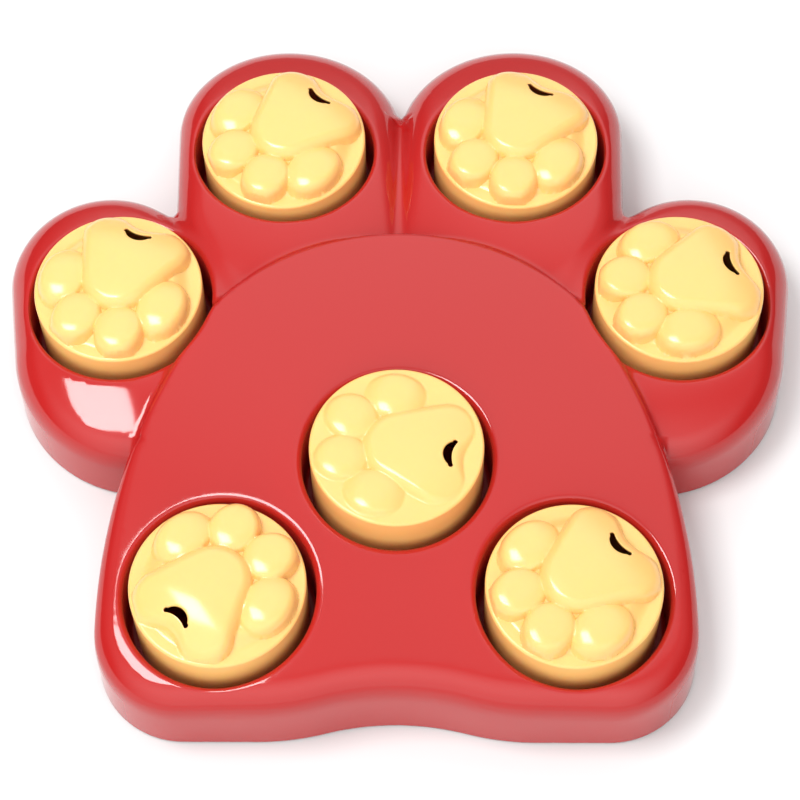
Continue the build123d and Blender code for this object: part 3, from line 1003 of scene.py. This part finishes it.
def add_softbox(name, place, target, width, height, power):
    lamp = bpy.data.lights.new(name, "AREA")
    lamp.shape = "RECTANGLE"
    lamp.size = width
    lamp.size_y = height
    lamp.energy = power
    box = bpy.data.objects.new(name, lamp)
    box.location = place
    box.rotation_euler = (Vector(target) - Vector(place)).to_track_quat("-Z", "Y").to_euler()
    bpy.context.scene.collection.objects.link(box)


# Brighter walls of the tent: the way to the middle of each, the cosine at its edge, its strength
TENT_PANELS = (
    ((0.10, 0.62, 0.78), 0.78, 0.90),
    ((-0.1, -0.85, 0.5), 0.3, 1.45),
    ((0.1, 0.93, 0.35), 0.75, 0.3),
)


def light_scene():
    """A white tent that is bright above and behind and dark near the table, and one softbox."""
    world = bpy.data.worlds.new("studio")
    world.use_nodes = True
    world.node_tree.nodes.clear()
    way = add_node(world, "ShaderNodeTexCoord").outputs["Generated"]
    parts = add_node(world, "ShaderNodeSeparateXYZ", None, {"Vector": way})
    above = add_node(world, "ShaderNodeMapRange", {"interpolation_type": "SMOOTHSTEP"}, {
        "Value": parts.outputs["Z"], "From Min": 0.25, "From Max": 0.8, "To Min": 0.15, "To Max": 0.55})
    total = above.outputs["Result"]
    for direction, start, strength in TENT_PANELS:
        facing = add_node(world, "ShaderNodeVectorMath", {"operation": "DOT_PRODUCT"},
                          {0: way, 1: direction})
        panel = add_node(world, "ShaderNodeMapRange", {"interpolation_type": "SMOOTHSTEP"}, {
            "Value": facing.outputs["Value"], "From Min": start, "From Max": 1.0,
            "To Min": 0.0, "To Max": strength})
        total = add_node(world, "ShaderNodeMath", {"operation": "ADD"},
                         {0: total, 1: panel.outputs["Result"]}).outputs["Value"]
    glow = add_node(world, "ShaderNodeBackground", None,
                    {"Color": (1, 1, 1, 1), "Strength": total})
    add_node(world, "ShaderNodeOutputWorld", None, {"Surface": glow.outputs["Background"]})
    bpy.context.scene.world = world
    add_softbox("key_softbox", (-0.45, -0.04, 1.25), (0, 0, 0.03), 0.50, 0.44, 10.0)


def place_camera():
    lens = bpy.data.cameras.new("camera")
    lens.sensor_width = 36.0
    lens.lens = 114.713
    camera = bpy.data.objects.new("camera", lens)
    camera.location = (0.013148, -0.442520, 0.826903)
    camera.rotation_euler = (0.486757, 0.011685, 0.007355)
    bpy.context.scene.collection.objects.link(camera)
    bpy.context.scene.camera = camera


# -------------------------------------------------------------------- make

SHELL_RED = "#b01d1c"

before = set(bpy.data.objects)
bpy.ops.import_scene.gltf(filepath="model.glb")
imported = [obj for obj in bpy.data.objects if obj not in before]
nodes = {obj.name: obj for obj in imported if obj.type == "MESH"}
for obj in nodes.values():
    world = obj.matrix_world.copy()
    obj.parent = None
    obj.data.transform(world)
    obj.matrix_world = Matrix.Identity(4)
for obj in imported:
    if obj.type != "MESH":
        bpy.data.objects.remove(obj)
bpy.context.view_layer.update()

red_abs = moulded_abs("moulded_red_abs", SHELL_RED, 0.07)
yellow_abs = moulded_abs("moulded_yellow_abs", "#f9c375", 0.18, depth=0.002)
well_abs = moulded_abs("moulded_red_abs_in_wells", SHELL_RED, 0.42)
foot_rubber = soft_rubber("foot_rubber", "#202020")

base = make_base(nodes["base_shell"], red_abs, well_abs)
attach(base, "base")
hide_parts("base_shell")
usual_skin = lid_skin(RELIEF)
centre_skin = lid_skin(CENTRE_RELIEF)
for name, node in nodes.items():
    if name in WELLS:
        lid = make_lid(name, centre_skin if name == "palm_lid_centre" else usual_skin, yellow_abs)
        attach(lid, name)
        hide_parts(name)
    elif name.startswith("foot_"):
        node.data.materials.clear()
        node.data.materials.append(foot_rubber)

make_stage()
light_scene()
place_camera()
bpy.context.scene.view_settings.view_transform = "Standard"
